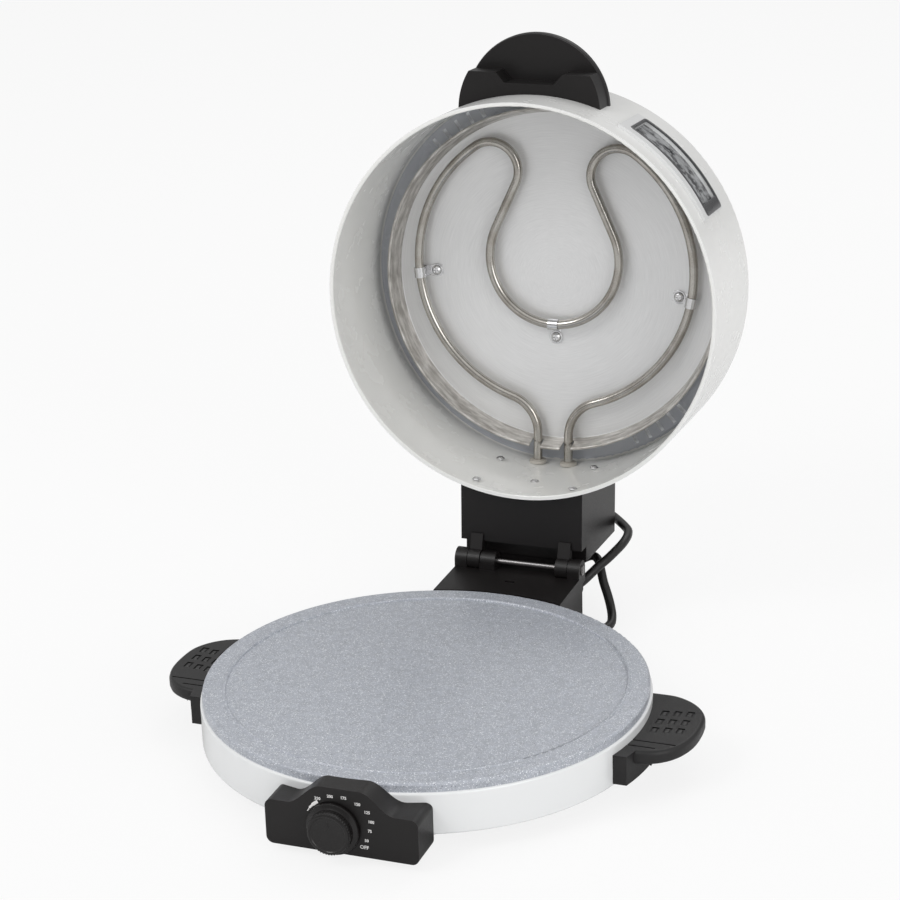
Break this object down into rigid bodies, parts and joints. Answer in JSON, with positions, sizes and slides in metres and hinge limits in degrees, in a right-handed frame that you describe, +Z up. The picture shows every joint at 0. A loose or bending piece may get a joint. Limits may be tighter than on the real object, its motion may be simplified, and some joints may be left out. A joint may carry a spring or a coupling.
{
  "type": "electric flatbread maker",
  "caption": "Countertop electric flatbread maker: round coated hot plate, tall hinged lid with its own heating tube, front dial, side handles and a mains lead.",
  "frame": {"origin": "centre of the round base at the level of the feet, on the surface it stands on", "axes": "+Z up, -Y towards the dial at the front, +Y towards the hinge at the back, +X to the user's right"},
  "size_m": [0.388, 0.5044, 0.4485],
  "materials": {
    "white_enamel": "gloss white baked paint",
    "galvanised_sheet": "plain galvanised sheet",
    "zinc_steel": "zinc plated",
    "black_rubber": "matt",
    "speckled_coating": "blue-grey speckled non-stick coating on cast aluminium",
    "brushed_aluminium": "spun and lightly brushed",
    "element_steel": "heat-dulled tube",
    "black_moulding": "fine satin",
    "gloss_black_knob": "satin gloss",
    "insulator": "moulded insulator",
    "ceramic": "unglazed",
    "cord_sleeve": "soft sleeve",
    "brass_pins": "plain",
    "window_frame": "glossy pale grey",
    "window_glass": "clear tempered"
  },
  "bodies": {
    "base": {"base_shell": "white_enamel", "bottom_cover": "galvanised_sheet", "cover_screws": "zinc_steel", "cover_nuts": "zinc_steel", "base_feet": "black_rubber", "foot_screws": "zinc_steel", "foot_nuts": "zinc_steel", "cooking_plate": "speckled_coating", "plate_screws": "zinc_steel", "plate_spacers": "zinc_steel", "lower_reflector": "galvanised_sheet", "lower_element": "element_steel", "element_straps": "galvanised_sheet", "control_panel": "black_moulding", "panel_screws": "zinc_steel", "thermostat_body": "insulator", "side_handle_left": "black_moulding", "side_handle_right": "black_moulding", "handle_screws": "zinc_steel", "hinge_bracket": "black_moulding", "bracket_plate": "black_moulding", "bracket_feet": "black_rubber", "bracket_foot_screws": "zinc_steel", "bracket_screws": "zinc_steel", "hinge_pin": "zinc_steel", "pin_clips": "zinc_steel", "terminal_block": "insulator", "cord_gland": "cord_sleeve", "mains_cord": "cord_sleeve", "mains_cord_coil": "cord_sleeve", "cord_tie": "cord_sleeve", "plug": "cord_sleeve", "plug_pins": "brass_pins", "lead_gland_lower": "cord_sleeve", "lid_lead": "cord_sleeve"},
    "lid": {"lid_shell": "white_enamel", "upper_reflector": "brushed_aluminium", "reflector_spacers": "zinc_steel", "clip_screws": "zinc_steel", "clip_nuts": "zinc_steel", "upper_element": "element_steel", "element_clips": "zinc_steel", "element_bushings": "ceramic", "element_terminals": "brass_pins", "hinge_arm": "black_moulding", "hinge_arm_cover": "black_moulding", "arm_cover_screws": "zinc_steel", "arm_screws": "zinc_steel", "lead_gland_upper": "cord_sleeve", "lid_handle": "black_moulding", "lid_handle_screws": "zinc_steel", "window_bezel": "window_frame", "window_glass": "window_glass", "window_clips": "zinc_steel", "window_screws": "zinc_steel"},
    "dial": {"knob": "gloss_black_knob", "thermostat_shaft": "zinc_steel"}
  },
  "joints": [
    {"name": "lid_hinge", "type": "hinge", "parent": "base", "child": "lid", "pos_m": [0, 0.2036, 0.0547], "axis": [1, 0, 0], "range_deg": [0, 93], "deforming": ["lid_lead"]},
    {"name": "dial_turn", "type": "hinge", "parent": "base", "child": "dial", "pos_m": [0.001, -0.172, 0.024], "axis": [0, -1, 0], "range_deg": [0, 210]}
  ]
}
